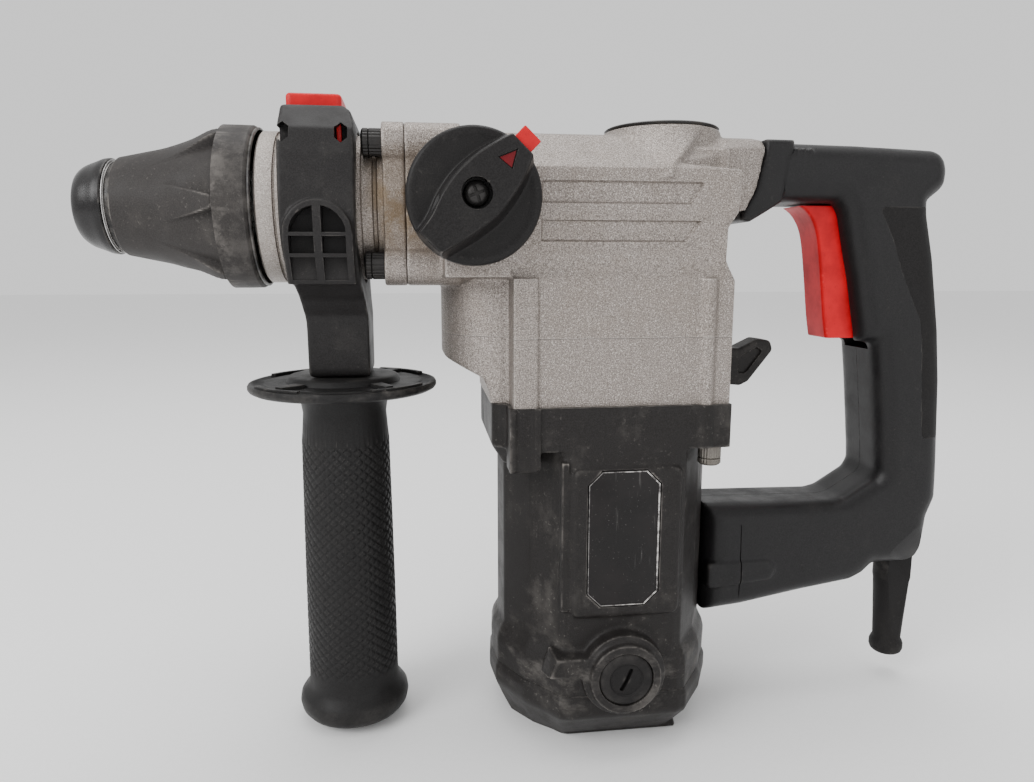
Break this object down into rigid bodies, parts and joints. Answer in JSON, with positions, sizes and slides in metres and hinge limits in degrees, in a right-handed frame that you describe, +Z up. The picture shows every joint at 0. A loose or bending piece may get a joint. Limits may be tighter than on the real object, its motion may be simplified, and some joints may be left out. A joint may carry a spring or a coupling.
{
  "type": "rotary hammer",
  "caption": "Corded L-shaped rotary hammer with locking chuck, side handle, mode knob and D-handle.",
  "frame": {"origin": "centre of the motor's flat base, on the motor axis", "axes": "+Z up along the motor axis, +X to the D-handle (nose at -X), -Y the side with the mode knob"},
  "size_m": [0.3747, 0.121, 0.2721],
  "materials": {
    "cast_aluminium": "blasted casting, light grey",
    "dark_plastic": "black moulded plastic",
    "soft_rubber": "black soft grip",
    "red_plastic": "bright red",
    "bright_steel": "machined steel",
    "black_screw": "blackened steel",
    "zinc_screw": "zinc plated",
    "piston_alloy": "machined aluminium",
    "laminated_iron": "stacked laminations",
    "copper": "copper segments",
    "carbon": "pressed carbon",
    "label": "black foil plate"
  },
  "bodies": {
    "body": {"front_cover": "cast_aluminium", "nose_bolt_1": "black_screw", "nose_bolt_2": "black_screw", "nose_bolt_3": "black_screw", "nose_bolt_4": "black_screw", "spindle_bearing": "bright_steel", "cylinder_bearing": "bright_steel", "gear_housing": "cast_aluminium", "gear_base": "cast_aluminium", "bearing_bridge": "cast_aluminium", "grease_cap": "piston_alloy", "stator": "laminated_iron", "motor_housing": "dark_plastic", "tail_cap": "dark_plastic", "label_plate": "label", "brush_cap_near": "dark_plastic", "brush_cap_far": "dark_plastic", "brush_near": "carbon", "brush_far": "carbon", "motor_screw_1": "zinc_screw", "motor_screw_2": "zinc_screw", "motor_screw_3": "zinc_screw", "motor_screw_4": "zinc_screw", "armature_bearing_top": "bright_steel", "armature_bearing_low": "bright_steel", "handle_left": "dark_plastic", "handle_right": "dark_plastic", "grip_pad_left": "soft_rubber", "grip_pad_right": "soft_rubber", "switch": "dark_plastic", "strain_relief": "soft_rubber"},
    "armature": {"armature_shaft": "bright_steel", "armature_core": "laminated_iron", "commutator": "copper", "fan": "dark_plastic"},
    "crank": {"crankshaft": "bright_steel", "crank_gear": "bright_steel"},
    "lay": {"layshaft": "bright_steel", "lay_gear": "bright_steel"},
    "chuck": {"spindle": "bright_steel", "bevel_ring": "bright_steel", "nose_cap": "soft_rubber", "sleeve_spring": "bright_steel"},
    "sleeve": {"locking_sleeve": "dark_plastic"},
    "piston_unit": {"piston": "piston_alloy", "wrist_pin": "bright_steel"},
    "rod": {"connecting_rod": "bright_steel"},
    "striker_unit": {"striker": "bright_steel"},
    "impact_unit": {"impact_bolt": "bright_steel"},
    "knob": {"mode_knob": "dark_plastic", "knob_tip": "red_plastic", "knob_screw": "black_screw"},
    "lever": {"rear_lever": "dark_plastic"},
    "trigger_unit": {"trigger": "red_plastic"},
    "side_arm": {"side_clamp": "dark_plastic", "side_bolt": "bright_steel"},
    "button": {"side_button": "red_plastic"},
    "grip": {"side_grip": "soft_rubber"}
  },
  "joints": [
    {"name": "armature_spin", "type": "hinge", "parent": "body", "child": "armature", "pos_m": [0, 0, 0.09], "axis": [0, 0, 1], "continuous": true},
    {"name": "crank_spin", "type": "hinge", "parent": "body", "child": "crank", "pos_m": [0.022, 0, 0.18], "axis": [0, 0, 1], "continuous": true},
    {"name": "lay_spin", "type": "hinge", "parent": "body", "child": "lay", "pos_m": [-0.022, 0, 0.18], "axis": [0, 0, 1], "continuous": true},
    {"name": "spindle_spin", "type": "hinge", "parent": "body", "child": "chuck", "pos_m": [-0.1, 0, 0.228], "axis": [1, 0, 0], "continuous": true},
    {"name": "sleeve_slide", "type": "slide", "parent": "chuck", "child": "sleeve", "axis": [1, 0, 0], "range_m": [0, 0.009], "stiffness_N_per_m": 600, "springref_m": -0.006, "deforming": ["sleeve_spring"]},
    {"name": "piston_slide", "type": "slide", "parent": "body", "child": "piston_unit", "axis": [1, 0, 0], "range_m": [0, 0.018]},
    {"name": "rod_swing", "type": "hinge", "parent": "piston_unit", "child": "rod", "pos_m": [-0.02, 0, 0.228], "axis": [0, 0, 1], "range_deg": [-15, 15]},
    {"name": "striker_slide", "type": "slide", "parent": "body", "child": "striker_unit", "axis": [1, 0, 0], "range_m": [-0.0035, 0.0075]},
    {"name": "impact_slide", "type": "slide", "parent": "body", "child": "impact_unit", "axis": [1, 0, 0], "range_m": [-0.004, 0]},
    {"name": "knob_turn", "type": "hinge", "parent": "body", "child": "knob", "pos_m": [-0.0603, -0.05, 0.229], "axis": [0, -1, 0], "range_deg": [-90, 0]},
    {"name": "lever_turn", "type": "hinge", "parent": "body", "child": "lever", "pos_m": [0.05, 0, 0.162], "axis": [1, 0, 0], "range_deg": [0, 60]},
    {"name": "trigger_press", "type": "hinge", "parent": "body", "child": "trigger_unit", "pos_m": [0.117, 0, 0.222], "axis": [0, -1, 0], "range_deg": [0, 6], "stiffness_Nm_per_rad": 0.6, "springref_deg": -11.46},
    {"name": "side_swivel", "type": "hinge", "parent": "body", "child": "side_arm", "pos_m": [-0.118, 0, 0.228], "axis": [1, 0, 0], "range_deg": [-90, 90]},
    {"name": "button_press", "type": "slide", "parent": "side_arm", "child": "button", "axis": [0, 0, -1], "range_m": [0, 0.003], "stiffness_N_per_m": 500, "springref_m": -0.002},
    {"name": "grip_twist", "type": "hinge", "parent": "side_arm", "child": "grip", "pos_m": [-0.1141, 0, 0.08], "axis": [0, 0, 1], "continuous": true}
  ],
  "couplings": [
    {"joint": "crank_spin", "follows": "armature_spin", "ratio": -0.25},
    {"joint": "lay_spin", "follows": "armature_spin", "ratio": -0.25},
    {"joint": "spindle_spin", "follows": "armature_spin", "ratio": 0.083333}
  ]
}
